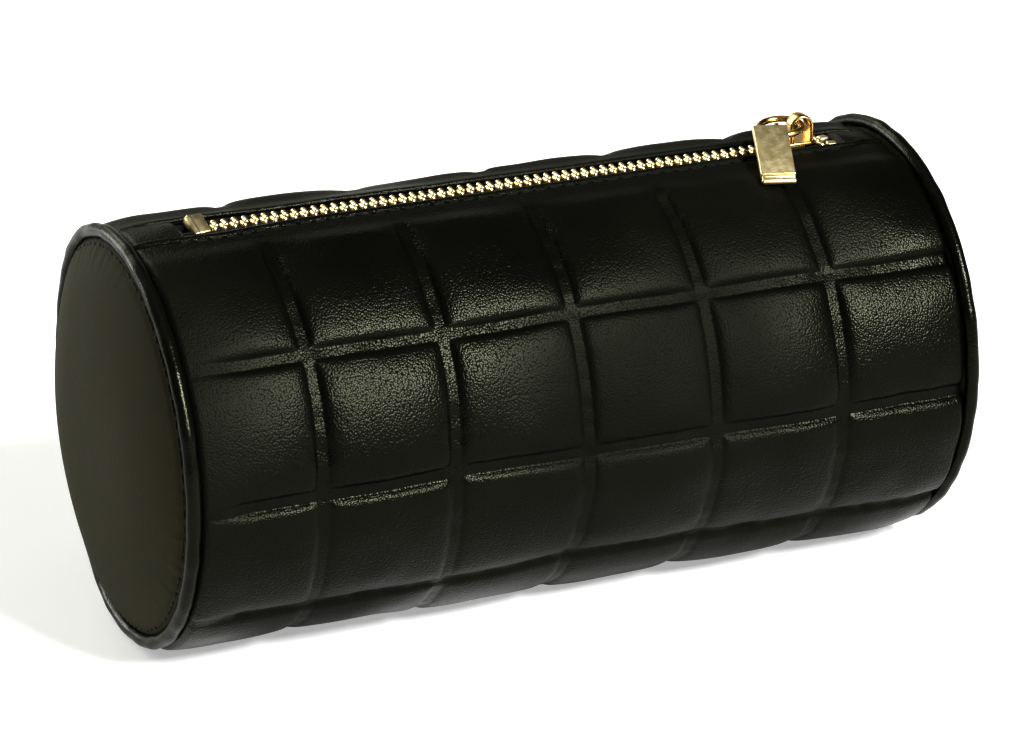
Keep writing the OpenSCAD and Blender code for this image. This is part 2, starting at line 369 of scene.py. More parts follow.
def leather(name, dark, light, rough_low, rough_high, grain_mm, grain_depth, specular,
            patchy=False):
    """Fine-grained lambskin: pebbles over soft wrinkles, with clouds or handled patches of
    polish."""
    material, nodes, links = new_material(name)
    bsdf = shader(nodes)
    bsdf.inputs["Specular IOR Level"].default_value = specular
    bsdf.inputs["Specular Tint"].default_value = (0.97, 1.0, 0.74, 1)
    cells = 1000 / grain_mm
    even = coordinates(nodes)
    pebbles = texture(nodes, links, "ShaderNodeTexVoronoi", even, Scale=cells)
    domes = nodes.new("ShaderNodeMath")
    domes.operation = "POWER"
    domes.inputs[1].default_value = 2.0
    links.new(pebbles.outputs["Distance"], domes.inputs[0])
    fine = texture(nodes, links, "ShaderNodeTexNoise", even, Scale=cells * 2.2, Detail=2.0)
    wrinkles = texture(nodes, links, "ShaderNodeTexNoise", even, Scale=420.0, Detail=3.0,
                       Distortion=0.6)
    clouds = texture(nodes, links, "ShaderNodeTexNoise", even, Scale=55.0, Detail=3.0)
    colour = ramp(nodes, links, clouds.outputs["Fac"], 0.35, 0.7, dark, light)
    links.new(colour, bsdf.inputs["Base Color"])
    if patchy:
        polish = nodes.new("ShaderNodeAttribute")
        polish.attribute_name = "polish"
        rough = map_range(nodes, links, polish.outputs["Fac"], 0.45, -0.6, rough_low, rough_high)
    else:
        rough = map_range(nodes, links, clouds.outputs["Fac"], 0.3, 0.7, rough_low, rough_high)
    links.new(rough, bsdf.inputs["Roughness"])
    soft = bump(nodes, links, wrinkles.outputs["Fac"], 0.00002)
    pebbled = bump(nodes, links, domes.outputs[0], -grain_depth, under=soft)
    links.new(bump(nodes, links, fine.outputs["Fac"], grain_depth * 0.2, under=pebbled),
              bsdf.inputs["Normal"])
    return material


def cloth(name, colour, thread_mm, depth, roughness=0.85):
    """Plain weave: warp and weft ridges with lint. It also serves as twisted thread."""
    material, nodes, links = new_material(name)
    bsdf = shader(nodes)
    bsdf.inputs["Roughness"].default_value = roughness
    bsdf.inputs["Sheen Weight"].default_value = 0.02
    bsdf.inputs["Specular IOR Level"].default_value = 0.15
    even = coordinates(nodes)
    lint = texture(nodes, links, "ShaderNodeTexNoise", even, Scale=900.0, Detail=3.0)
    lighter = tuple(c * 1.9 + 0.001 for c in colour)
    links.new(ramp(nodes, links, lint.outputs["Fac"], 0.35, 0.75, colour, lighter),
              bsdf.inputs["Base Color"])
    normal = None
    for direction in ("X", "Y"):
        threads = texture(nodes, links, "ShaderNodeTexWave", even,
                          Scale=1000 / thread_mm / 20 * math.pi, Distortion=0.4)
        threads.bands_direction = direction
        normal = bump(nodes, links, threads.outputs["Fac"], depth, under=normal)
    links.new(bump(nodes, links, lint.outputs["Fac"], depth * 0.5, under=normal),
              bsdf.inputs["Normal"])
    return material


def gold(name, colour, rough_low, rough_high, brushed=0.0, turn=0.0):
    """Pale gold plating, polished or brushed, with faint tarnish and handling marks."""
    material, nodes, links = new_material(name)
    bsdf = shader(nodes)
    bsdf.inputs["Metallic"].default_value = 1.0
    even = coordinates(nodes)
    marks = texture(nodes, links, "ShaderNodeTexNoise", even, Scale=700.0, Detail=4.0)
    deeper = (colour[0] * 0.9, colour[1] * 0.86, colour[2] * 0.75)
    links.new(ramp(nodes, links, marks.outputs["Fac"], 0.3, 0.62, deeper, colour),
              bsdf.inputs["Base Color"])
    links.new(map_range(nodes, links, marks.outputs["Fac"], 0.3, 0.7, rough_low, rough_high),
              bsdf.inputs["Roughness"])
    normal = bump(nodes, links, marks.outputs["Fac"], 0.00002)
    if brushed:
        mapping = nodes.new("ShaderNodeMapping")
        mapping.inputs["Rotation"].default_value = (0, 0, turn)
        mapping.inputs["Scale"].default_value = (600, 9000, 600)
        links.new(even, mapping.inputs["Vector"])
        hairs = texture(nodes, links, "ShaderNodeTexNoise", mapping.outputs["Vector"],
                        Scale=1.0, Detail=2.0)
        normal = bump(nodes, links, hairs.outputs["Fac"], brushed, under=normal)
    links.new(normal, bsdf.inputs["Normal"])
    return material


def plain(name, colour, roughness, grain_scale, depth):
    """Dull material with an even grain, for foam, board and cord."""
    material, nodes, links = new_material(name)
    bsdf = shader(nodes)
    bsdf.inputs["Roughness"].default_value = roughness
    even = coordinates(nodes)
    grain = texture(nodes, links, "ShaderNodeTexNoise", even, Scale=grain_scale, Detail=4.0)
    links.new(ramp(nodes, links, grain.outputs["Fac"], 0.3, 0.7,
                   tuple(c * 0.8 for c in colour), colour), bsdf.inputs["Base Color"])
    links.new(bump(nodes, links, grain.outputs["Fac"], depth), bsdf.inputs["Normal"])
    return material


body_leather = leather("body_leather", (0.0018, 0.0019, 0.0011), (0.0032, 0.0033, 0.0020),
                       rough_low=0.29, rough_high=0.64, grain_mm=0.44, grain_depth=0.00008,
                       specular=0.12, patchy=True)
welt_leather = leather("welt_leather", (0.0022, 0.0023, 0.0013), (0.0038, 0.0039, 0.0024),
                       rough_low=0.22, rough_high=0.30, grain_mm=0.5, grain_depth=0.00004,
                       specular=0.14)
# The ends use the body's black leather, coloured many times lighter: a painted sheen that stands
# in for the lit floor's reflection on the domed ends.
end_leather = leather("end_leather", (0.028, 0.0260, 0.0132), (0.037, 0.0340, 0.0178),
                      rough_low=0.70, rough_high=0.80, grain_mm=0.4, grain_depth=0.00005,
                      specular=0.12)
lining_cloth = cloth("lining_cloth", (0.010, 0.010, 0.011), 0.45, 0.00008)
tape_cloth = cloth("tape_cloth", (0.0012, 0.0012, 0.0013), 0.35, 0.0001)
thread = cloth("waxed_thread", (0.004, 0.004, 0.003), 0.2, 0.00005, roughness=0.55)
teeth_gold = gold("teeth_gold", (0.70, 0.60, 0.38), 0.30, 0.44)
polished_gold = gold("polished_gold", (0.62, 0.43, 0.18), 0.2, 0.32)
brushed_gold = gold("brushed_gold", (0.70, 0.61, 0.375), 0.36, 0.48,
                    brushed=0.00004, turn=math.radians(18))
foam = plain("foam", (0.62, 0.6, 0.5), 0.95, 1500.0, 0.0002)
board = plain("board", (0.42, 0.36, 0.26), 0.9, 600.0, 0.0001)
cotton = plain("cotton_cord", (0.72, 0.7, 0.62), 0.9, 2500.0, 0.0002)


# ---------------------------------------------------------------- body, walls and lining

FINE_STEP = 0.22        # spacing of the mesh near a channel
WIDE_STEP = 1.0         # spacing of the mesh elsewhere
FINE_REACH = 3.0        # the fine spacing goes this far from a channel


def stations(low, high, channels):
    """Places from low to high, close together near the channels."""
    places, at = [low], low
    while at < high - 1e-6:
        near = min(abs(at + FINE_STEP - c) for c in channels)
        at += FINE_STEP if near < FINE_REACH else WIDE_STEP
        places.append(min(at, high))
    if places[-1] - places[-2] < FINE_STEP * 0.4:
        places.pop(-2)
    return np.array(places)


FOLD_U = RADIUS * math.radians(FOLD)
FOLD_LAP = 0.5          # the wall reaches this far past the base in the side channel
X_EDGES = [-BODY_HALF, BODY_HALF]
LEFT_XS = stations(-BODY_HALF, CHANNEL_X, RING_CHANNELS + X_EDGES)
RIGHT_XS = stations(CHANNEL_X, BODY_HALF, RING_CHANNELS + X_EDGES)
ALL_XS = np.concatenate([LEFT_XS, RIGHT_XS[1:]])
WALL_US = stations(0, FOLD_U + FOLD_LAP - LIP_U,
                   [c - LIP_U for c in LONG_CHANNELS] + [0, STITCH_IN])
BASE_SS = stations(FOLD_U, 2 * CIRCUM_HALF - FOLD_U,
                   LONG_CHANNELS + [2 * CIRCUM_HALF - c for c in LONG_CHANNELS])


def coarse(places):
    """Every third place, and always the last."""
    picked = places[::3]
    return np.append(picked, places[-1]) if (len(places) - 1) % 3 else picked


def wall_places(side, us, first, x):
    """Places round the body at x, from the lip or another start down to the fold."""
    start = lip_edge(x) if first is None else first
    u = start + us * (FOLD_U + FOLD_LAP - start) / us[-1]
    return u if side > 0 else 2 * CIRCUM_HALF - u


LEATHER_T = 1.0         # thickness of the leather
FOAM_GAP = 0.15         # the foam lies this far under the leather
LINING_DEPTH = 5.2      # outer face of the lining under the plain cylinder
LINING_T = 0.7          # thickness of the lining
LINING_TOP = 3.0        # outer face of the lining beside the slot, under the cylinder
FOAM_OVER_LINING = 0.3  # gap between the foam and the lining
FOAM_START = PAD_START + 1.0    # edge of the foam, round from the zip
LINING_START = 5.0      # edge of the lining, round from the zip


def leather_under(x, s):
    """Inside face of the leather."""
    u = np.minimum(s, 2 * CIRCUM_HALF - s)
    edge = np.exp(-np.clip(u - lip_edge(x), 0, None) / 0.5)
    return quilt_height(x, s) - LEATHER_T - 0.1 * edge


def foam_over(x, s):
    return quilt_height(x, s) - LEATHER_T - FOAM_GAP


def foam_under(x, s):
    return -LINING_DEPTH + FOAM_OVER_LINING + 0 * x * s


def lining_over(x, s):
    """Outer face of the lining: it rises to the zip tape beside the slot."""
    u = np.minimum(s, 2 * CIRCUM_HALF - s)
    return -LINING_DEPTH + (LINING_DEPTH - LINING_TOP) * (1 - smooth((u - 9) / 6)) \
        + 0.25 * value_noise(x, s, 13, 9, 31)


def lining_under(x, s):
    return lining_over(x, s) - LINING_T


def blend_half(piece):
    """Bakes the piece's placement into its mesh."""
    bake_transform(piece)


def build_wall(wall, side):
    halves = {"left": LEFT_XS, "right": RIGHT_XS}
    prefix = wall.split("_")[0]
    for half, xs in halves.items():
        skin = body_shell(f"{prefix}_{half}_quilted_leather", xs,
                          lambda x: wall_places(side, WALL_US, None, x),
                          quilt_height, leather_under)
        finish_piece(skin, "quilted_leather", body_leather, f"{prefix}_leather")
        inside = coarse(xs)
        pad = body_shell(f"{prefix}_{half}_padding", inside,
                         lambda x: wall_places(side, coarse(WALL_US), FOAM_START, x),
                         foam_over, foam_under)
        finish_piece(pad, "foam", foam, f"{prefix}_padding")
        cloth_piece = body_shell(f"{prefix}_{half}_lining", inside,
                                 lambda x: wall_places(side, coarse(WALL_US), LINING_START, x),
                                 lining_over, lining_under)
        finish_piece(cloth_piece, "lining", lining_cloth, f"{prefix}_lining")
        for piece in (skin, pad, cloth_piece):
            blend_half(piece)


def build_base():
    skin = body_shell("base_quilted_leather", ALL_XS, lambda x: BASE_SS,
                      quilt_height, leather_under)
    finish_piece(skin, "quilted_leather", body_leather, "base_leather")
    pad = body_shell("base_foam", coarse(ALL_XS), lambda x: coarse(BASE_SS),
                     foam_over, foam_under)
    finish_piece(pad, "foam", foam, "base_padding")
    cloth_piece = body_shell("base_lining_cloth", coarse(ALL_XS), lambda x: coarse(BASE_SS),
                             lining_over, lining_under)
    finish_piece(cloth_piece, "lining", lining_cloth, "base_lining")
    for piece in (skin, pad, cloth_piece):
        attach(piece, "case")


build_base()
build_wall("front_wall", 1)
build_wall("rear_wall", -1)


# ---------------------------------------------------------------- round ends

END_DOME = 6.6          # how far each padded end bulges past its seam
DOME_POWER = 3.4        # shape of the bulge: flat in the middle, steep at the rim
FAR_PULL = {"left": 1.3, "right": 0.0}  # how far an end's seam is pulled in at its far side
FAR_ANGLE = math.radians(100)           # middle of that far side
SEAM_IN = 1.5           # stitches, in from the disc's edge
SEAM_SINK = 0.3         # the stitches lie this deep in the disc
RIM_IN = 1.1            # rim of the disc, in from the welt's outer face
SEAM_STITCHES = 96      # stitches round one end


def far_pull(side_name, angle):
    """How far an end's seam is pulled in, at an angle round from the top by way of the rear."""
    return FAR_PULL[side_name] * smooth((np.cos(angle - FAR_ANGLE) - 0.3) / 0.7)


def build_end(side_name, sign):
    """Domed disc, welt, stitches, board, lining and cord of one end."""
    rng = np.random.default_rng(7 if sign > 0 else 8)
    welt_r, end_z = WELT_R[side_name], END_Z[side_name]
    disc_r = welt_r - 1.0
    rim_x = HALF - RIM_IN
    turns, steps = 480, 56
    angles = np.linspace(0, 2 * math.pi, turns, endpoint=False)
    # the far side of the left end is pulled in a little, so its welt lies behind the dome
    lean = far_pull(side_name, angles)
    # puckers of the gathered edge: uneven widths and depths round the seam
    pucker = np.zeros(turns)
    for count in (31, 47, 64, 96):
        pucker += rng.uniform(0.4, 1) * np.sin(count * angles + rng.uniform(0, 6.3))
    pucker *= 0.5 + 0.5 * np.sin(3 * angles + rng.uniform(0, 6.3))
    slack = np.sin(2 * angles + 0.6) + 0.6 * np.sin(5 * angles + 2.0)
    rows = []
    for t in np.linspace(0.012, 1, steps) ** 0.75:
        r = disc_r * t
        x = rim_x + END_DOME * (1 - t ** DOME_POWER) - lean * smooth((t - 0.4) / 0.6)
        x = x + 0.07 * pucker * smooth((t - 0.8) / 0.2) + 0.15 * slack * t * (1 - t)
        x = x - SEAM_SINK * math.exp(-((r - disc_r + SEAM_IN) / 0.4) ** 2)
        x = x - 0.8 * max(0.0, (t - 0.96) / 0.04) ** 1.5
        rows.append(np.stack([sign * x, r * np.sin(angles), end_z + r * np.cos(angles)], -1))
    back = [np.stack([sign * (rim_x - 1.4 - lean), r * np.sin(angles),
                      end_z + r * np.cos(angles)], -1) for r in (disc_r, disc_r * 0.5, 0.4)]
    disc = loft(f"{side_name}_end_disc", rows + back)
    # the disc's lighter leather colour is a painted sheen
    finish_piece(disc, "end_leather", end_leather, f"{side_name}_end_panel")

    # welt: leather stretched over a cord, with the slight waves of a turned edge
    tube = 20
    wave = 0.05 * np.sin(19 * angles + sign) + 0.04 * np.sin(41 * angles + 2)
    welt_rings, cord_rings = [], []
    for a, w, pull in zip(angles, wave, lean):
        b = np.linspace(0, 2 * math.pi, tube, endpoint=False)
        thick = (WELT_T - 0.06) * (1 + 0.03 * math.sin(29 * a + sign)) - 0.03
        for rings, share in ((welt_rings, 1.0), (cord_rings, CORD_SHARE)):
            r = welt_r + w - 0.05 + share * thick * np.cos(b) - 0.4 * pull
            x = WELT_X - 0.03 + share * thick * np.sin(b) - pull
            z = np.maximum(end_z + r * math.cos(a), REST_Z)
            rings.append(np.stack([sign * x, r * math.sin(a), z], -1))
    welt = loft(f"{side_name}_welt", welt_rings, closed_path=True)
    finish_piece(welt, "welt_leather", welt_leather, f"{side_name}_piping")
    cord = loft(f"{side_name}_welt_cord", cord_rings, closed_path=True)
    finish_piece(cord, "filler_cord", cotton, f"{side_name}_piping_cord")

    # stitches in the seam between the disc and the welt
    verts, faces = capsule(1.75, 0.24, 0.9)
    parts = []
    for i in range(SEAM_STITCHES):
        a = 2 * math.pi * (i + 0.2 * math.sin(i * 1.7)) / SEAM_STITCHES
        along = np.array([0, math.cos(a), -math.sin(a)])
        out = np.array([0, math.sin(a), math.cos(a)])
        away = np.array([sign, 0, 0])
        pull = far_pull(side_name, a)
        seam = disc_r - SEAM_IN
        rise = END_DOME * (1 - (seam / disc_r) ** DOME_POWER) - SEAM_SINK
        centre = away * (rim_x + rise - pull) + out * seam + np.array([0, 0, end_z])
        placed = centre + verts[:, :1] * along + verts[:, 1:2] * out + verts[:, 2:] * away
        parts.append((placed, faces))
    stitches = merge(f"{side_name}_seam_stitches", parts)
    finish_piece(stitches, "thread", thread, f"{side_name}_end_stitching")

    for piece in (disc, welt, cord, stitches):
        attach(piece, "case")
    for node, material in ((f"{side_name}_end_stiffener", board),
                           (f"{side_name}_end_lining", lining_cloth)):
        cad = frame["nodes"][node]
        cad.data.materials.clear()
        cad.data.materials.append(material)


build_end("right", 1)
build_end("left", -1)


# ---------------------------------------------------------------- zip

teeth_lo, teeth_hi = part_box("front_zip_teeth")
stop_lo, stop_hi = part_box("zip_bottom_stop")
slider_lo, slider_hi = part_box("slider_body")
TAPE_DEPTH = 1.6        # outer face of the tape under the plain cylinder
TAPE_T = 0.55           # thickness of the tape
TAPE_HALF = 78          # half the length of the tape
TOOTH_Z = (teeth_lo.z + teeth_hi.z) / 2 / MM
TOOTH_PITCH = 2.03
TOOTH_BAR = (0.92, 2.75, 1.5)       # along the zip, across it, and high
TOOTH_FOOT = (0.98, 1.2, 1.75)
CHAIN_START = teeth_lo.x / MM + 0.475
CHAIN_END = slider_hi.x / MM - 2.7
PART_X = slider_hi.x / MM + 1.3     # first parted tooth past the slider
PARTED = 0.6            # how far the teeth past the slider stand back
STITCH_HALF = 69.5      # half the length of a row of topstitches
STITCH_STEP = 3.05      # from one topstitch to the next
STITCH_L, STITCH_R = 2.25, 0.27     # length and radius of a topstitch


def chain_rise(x):
    """The chain bows up a little and wanders between its ends."""
    return 0.12 * np.sin((x + 60) / 130 * math.pi) + 0.05 * np.sin(x / 9.0)


def chain_shift(x):
    """Sideways wander of the closed chain."""
    return 0.22 * np.sin((x + 15) / 21.0) * np.exp(-((x + 30) / 60) ** 2)


def tooth_shape():
    """(verts, faces) of one tooth of the front row: a rounded bar that reaches over the
    middle, and its thicker foot clenched on the tape."""
    bar, bar_faces = bevelled_box(TOOTH_BAR, 0.44, 4)
    bar = bar + np.array([0, -0.98, 0.02])
    foot, foot_faces = bevelled_box(TOOTH_FOOT, 0.4, 4)
    foot = foot + np.array([0, -1.66, 0])
    return [(bar, bar_faces), (foot, foot_faces)]


def teeth_row(name, side, xs):
    """One wall's teeth at the given places; those past the slider stand back."""
    rng = np.random.default_rng(31 if side > 0 else 32)
    parts = []
    for x in xs:
        lean = rng.uniform(-0.03, 0.03)
        rise = rng.uniform(-0.05, 0.05) + chain_rise(x)
        apart = PARTED if x > CHAIN_END + 1 else 0.0
        for verts, faces in tooth_shape():
            v = verts.copy()
            v[:, 1] -= apart
            v[:, 0], v[:, 1] = v[:, 0] - lean * v[:, 1], v[:, 1] + lean * v[:, 0]
            v[:, 1] = v[:, 1] * side + chain_shift(x)
            v = v + np.array([x, 0, TOOTH_Z + rise])
            parts.append((v, [f[::-1] for f in faces] if side < 0 else faces))
    return merge(name, parts)


def tape_places(side):
    """Places round the body across the tape, from beside the teeth outward."""
    us = np.concatenate([np.linspace(1.15, 5.5, 16), np.linspace(6.2, 10.3, 7)])
    return us if side > 0 else 2 * CIRCUM_HALF - us


def tape_over(x, s):
    """Outer face of the tape: it lies flat along the chain and puckers at the stop."""
    u = np.minimum(s, 2 * CIRCUM_HALF - s)
    pucker = 0.35 * np.exp(-((x + 68) / 5) ** 2) * np.sin(u * 1.9 + x * 0.5)
    return -TAPE_DEPTH + pucker * smooth((u - 1.2) / 1.2) \
        + 0.1 * value_noise(x, s, 4.5, 2.5, 41)


def tape_under(x, s):
    return tape_over(x, s) - TAPE_T


def lip_stitches(side, xs):
    """(verts, faces) of each topstitch at the given places along a lip."""
    verts, faces = capsule(STITCH_L, STITCH_R, 0.75)
    parts = []
    for i, x in enumerate(xs):
        u = lip_edge(x) + STITCH_IN + 0.05 * math.sin(i * 2.3)
        s = u if side > 0 else 2 * CIRCUM_HALF - u
        here = np.array([x, s])
        height = quilt_height(here[:1], here[1:]) + 0.1
        spot = body_point(here[:1], here[1:], height)[0]
        slope = (lip_edge(x + 1) - lip_edge(x)) * -side + 0.05 * math.cos(i * 1.3)
        tilt = s / RADIUS
        along = np.array([1, slope * math.cos(tilt), 0])
        along /= np.linalg.norm(along)
        up = np.array([0, -math.sin(tilt), math.cos(tilt)])
        across = np.cross(up, along)
        placed = spot + verts[:, :1] * along + verts[:, 1:2] * across + verts[:, 2:] * up
        parts.append((placed, faces))
    return parts


def build_zip(wall, side):
    """Tape, teeth, topstitches and top stop of one wall."""
    prefix = wall.split("_")[0]
    offset = 0 if side > 0 else TOOTH_PITCH / 2
    row = np.append(np.arange(CHAIN_START + offset, CHAIN_END, TOOTH_PITCH),
                    PART_X + offset / 2)
    tape_xs = np.arange(-TAPE_HALF, TAPE_HALF + 0.1, 0.8)
    stitch_xs = np.arange(-STITCH_HALF, STITCH_HALF + 0.1, STITCH_STEP)
    for half in ("left", "right"):
        def mine(xs):
            return xs[xs < CHANNEL_X] if half == "left" else xs[xs >= CHANNEL_X]
        xs = np.append(mine(tape_xs), CHANNEL_X) if half == "left" \
            else np.insert(mine(tape_xs), 0, CHANNEL_X)
        tape = body_shell(f"{prefix}_{half}_zip_tape", xs, lambda x: tape_places(side),
                          tape_over, tape_under)
        finish_piece(tape, "zip_tape", tape_cloth, f"{prefix}_zip_tape")
        teeth = teeth_row(f"{prefix}_{half}_zip_teeth", side, mine(row))
        finish_piece(teeth, "zip_metal", teeth_gold, f"{prefix}_zip_teeth")
        stitching = merge(f"{prefix}_{half}_topstitching", lip_stitches(side, mine(stitch_xs)))
        finish_piece(stitching, "thread", thread, f"{prefix}_topstitching")
        for piece in (tape, teeth, stitching):
            blend_half(piece)
    lo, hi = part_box(f"{prefix}_top_stop")
    centre = (lo + hi) / 2 / MM
    size = (hi - lo) / MM
    verts, faces = bevelled_box((size.x, size.y, size.z * 0.92), 0.5, 4)
    lean = math.radians(-12) * side
    v = verts @ np.array(Matrix.Rotation(lean, 3, "Z")).T + np.array(centre[:])
    stop = merge(f"{prefix}_top_stop_clip", [(v, faces)])
    finish_piece(stop, "zip_metal", teeth_gold, f"{prefix}_top_stop")
    blend_half(stop)


build_zip("front_wall", 1)
build_zip("rear_wall", -1)


def build_bottom_stop():
    """Folded metal box that joins the two tapes; it sits askew and stands up a little."""
    centre = (stop_lo + stop_hi) / 2 / MM
    size = (stop_hi - stop_lo) / MM
    box, box_faces = bevelled_box((size.x * 1.05, size.y * 0.94, size.z * 0.8), 0.35, 3)
    fold, fold_faces = bevelled_box((size.x * 0.3, size.y * 0.96, size.z * 0.5), 0.28, 3)
    turn = np.array(Matrix.Rotation(math.radians(9), 3, "Z")
                    @ Matrix.Rotation(math.radians(30), 3, "X"))
    parts = [(box @ turn.T, box_faces),
             ((fold + np.array([-size.x * 0.3, 0, size.z * 0.2])) @ turn.T, fold_faces)]
    raised = np.array(centre[:]) + [0, 0, 0.6]
    stop = merge("zip_bottom_box", [(v + raised, f) for v, f in parts])
    finish_piece(stop, "zip_metal", teeth_gold, "zip_bottom_stop")
    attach(stop, "case")


build_bottom_stop()


TAB_HALF_W = {"left": 4.6, "right": 3.9}    # half width of each leather tab
TAB_SINK = 1.55         # inner end of a tab, under the plain cylinder
TAB_UNDER = 1.75        # under face of a tab, under the plain cylinder


def build_tab(side_name, sign):
    """Folded leather tab that fills the slot between the lips."""
    lo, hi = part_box(f"{side_name}_zip_tab")
    inner = min(abs(lo.x), abs(hi.x)) / MM - 0.6
    xs = np.linspace(inner, BODY_HALF, 34)
    half_w = TAB_HALF_W[side_name]

    def places(x):
        return np.linspace(-half_w, half_w, 25)

    def tab_over(x, s):
        edge = smooth((np.abs(x) - inner) / 1.1)
        crown = 0.25 * (1 - (s / half_w) ** 2)
        return -TAB_SINK + 0.75 * edge + crown * edge \
            + 0.12 * value_noise(x, s + 9, 5, 4, 51)

    def tab_under(x, s):
        return -TAB_UNDER + 0 * x * s

    tab = body_shell(f"{side_name}_slot_tab", sign * xs, places, tab_over, tab_under)
    finish_piece(tab, "quilted_leather", body_leather, f"{side_name}_zip_tab")
    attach(tab, "case")


build_tab("right", 1)
build_tab("left", -1)


# ---------------------------------------------------------------- slider, ring and tag

PLATE_T = 0.8           # thickness of the slider's plates
TAIL_CUT, NOSE_CUT = 1.1, 1.9       # corner radii of the slider's plates
POST_R = 0.85           # radius of the post between the plates
STRAP_HALF_T = 0.42     # half the thickness of the arched strap
RING_WIRE = 0.64        # radius of the ring's wire


def soften(obj, width):
    """Rounds an object's hard edges by a width in mm."""
    bevel = obj.modifiers.new("soft_edges", "BEVEL")
    bevel.width = width * MM
    bevel.segments = 3
    bevel.limit_method = "ANGLE"
    bevel.angle_limit = math.radians(30)
    bevel.harden_normals = False
    return obj


def extruded(name, outline, z_low, z_high):
    """Closed slab from an outline in the XY plane, in mm."""
    low = [(x, y, z_low) for x, y in outline]
    high = [(x, y, z_high) for x, y in outline]
    return loft(name, [low, high])


def join_pieces(pieces, name):
    """One object of several, with their modifiers applied."""
    depsgraph = bpy.context.evaluated_depsgraph_get()
    parts = []
    for piece in pieces:
        mesh = piece.evaluated_get(depsgraph).to_mesh()
        verts = np.array([v.co[:] for v in mesh.vertices]) / MM
        parts.append((verts, [tuple(p.vertices) for p in mesh.polygons]))
        piece.evaluated_get(depsgraph).to_mesh_clear()
    joined = merge(name, parts)
    for piece in pieces:
        bpy.data.objects.remove(piece)
    return joined


def build_slider():
    """Two plates with rails along their sides, held apart by a post."""
    lo, hi = slider_lo / MM, slider_hi / MM
    mid_x, half_l, half_w = (lo.x + hi.x) / 2, (hi.x - lo.x) / 2, (hi.y - lo.y) / 2
    outline = []
    for sx, sy, cut in ((-1, -1, TAIL_CUT), (1, -1, NOSE_CUT),
                        (1, 1, NOSE_CUT), (-1, 1, TAIL_CUT)):
        corner = np.array([mid_x + sx * half_l, sy * half_w])
        centre = corner - np.array([sx, sy]) * cut
        start = math.atan2(sy, sx) - math.pi / 4
        for i in range(7):
            a = start + math.pi / 2 * i / 6
            outline.append(centre + cut * np.array([math.cos(a), math.sin(a)]))
    plates = []
    for z_low, z_high in ((lo.z, lo.z + PLATE_T), (hi.z - PLATE_T, hi.z)):
        plates.append(soften(extruded("plate", outline, z_low, z_high), 0.3))
    post = [(mid_x + 3.0 + POST_R * math.cos(a), POST_R * math.sin(a))
            for a in np.linspace(0, 2 * math.pi, 24, endpoint=False)]
    plates.append(extruded("post", post, lo.z + 0.7, hi.z - 0.7))
    for sy in (-1, 1):
        rail, rail_faces = bevelled_box((half_l * 1.35, 0.6, 0.9), 0.2)
        for z in (lo.z + 0.85, hi.z - 0.85):
            v = rail + np.array([mid_x - half_l * 0.3, sy * (half_w - 0.3), z])
            plates.append(add_object("rail", v, rail_faces))
    bpy.context.view_layer.update()
    slider = join_pieces(plates, "slider_plates")
    finish_piece(slider, "pull_metal", polished_gold, "slider_body")
    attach(slider, "slider")


def build_crown():
    """Arched strap on the slider's nose: wide and thick at the nose, round in section."""
    lo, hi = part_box("slider_crown")
    lo, hi = lo / MM, hi / MM
    mid_x, half_w = (lo.x + hi.x) / 2, (hi.x - lo.x) / 2 - STRAP_HALF_T
    spring = hi.z - STRAP_HALF_T - half_w
    path = [(mid_x - half_w, lo.z - 0.05), (mid_x - half_w, (lo.z + spring) / 2)]
    for i in range(19):
        a = math.pi - math.pi * i / 18
        path.append((mid_x + half_w * math.cos(a), spring + half_w * math.sin(a)))
    path += [(mid_x + half_w, (lo.z + spring) / 2), (mid_x + half_w, lo.z - 0.05)]
    rings = []
    for i, (x, z) in enumerate(path):
        ahead = np.array(path[min(i + 1, len(path) - 1)])
        behind = np.array(path[max(i - 1, 0)])
        along = (ahead - behind) / np.linalg.norm(ahead - behind)
        out = np.array([-along[1], along[0]])
        share = i / (len(path) - 1)
        width = 1.35 + 0.7 * share
        ring = []
        for b in np.linspace(0, 2 * math.pi, 20, endpoint=False):
            y = width * math.copysign(abs(math.cos(b)) ** 0.7, math.cos(b))
            t = STRAP_HALF_T * math.copysign(abs(math.sin(b)) ** 0.8, math.sin(b))
            ring.append((x + out[0] * t, y, z + out[1] * t))
        rings.append(ring)
    crown = loft("crown_strap", rings)
    finish_piece(crown, "pull_metal", polished_gold, "slider_crown")
    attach(crown, "slider")


def torus(name, centre, axis_u, axis_v, radius, wire, steps):
    """Ring of round wire in the plane of two unit vectors."""
    normal = np.cross(axis_u, axis_v)
    b = np.linspace(0, 2 * math.pi, 20, endpoint=False)[:, None]
    rings = []
    for a in np.linspace(0, 2 * math.pi, steps, endpoint=False):
        out = math.cos(a) * axis_u + math.sin(a) * axis_v
        rings.append(centre + out * (radius + wire * np.cos(b)) + normal * wire * np.sin(b))
    return loft(name, rings, closed_path=True)


build_slider()
build_crown()

ring_lo, ring_hi = (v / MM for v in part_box("pull_ring"))
RING_CENTRE = np.array(((ring_lo + ring_hi) / 2)[:])
RING_R = (ring_hi.y - ring_lo.y) / 2 - RING_WIRE - 0.01
RING_PITCH, RING_ROLL = math.radians(5), math.radians(4)
RING_U = np.array([math.cos(RING_PITCH), 0, math.sin(RING_PITCH)])
RING_V = np.array([0, math.cos(RING_ROLL), math.sin(RING_ROLL)])
ring = torus("pull_jump_ring", RING_CENTRE, RING_U, RING_V, RING_R, RING_WIRE, 96)
finish_piece(ring, "pull_metal", polished_gold, "pull_ring")
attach(ring, "ring")

TAG_L, TAG_W, TAG_T = 15.4, 6.9, 1.6    # length, width and thickness of the tag
TAG_LIP = 1.15          # length of the rolled lip at the tag's lower end
TAG_GROOVE = 0.62       # length of the groove above that lip
TAG_TURN, TAG_SLOPE = math.radians(18), math.radians(27.5)
tag_joint = hinge["tag_swing"]
RING_POINT = np.array(tag_joint["pos_m"]) / MM
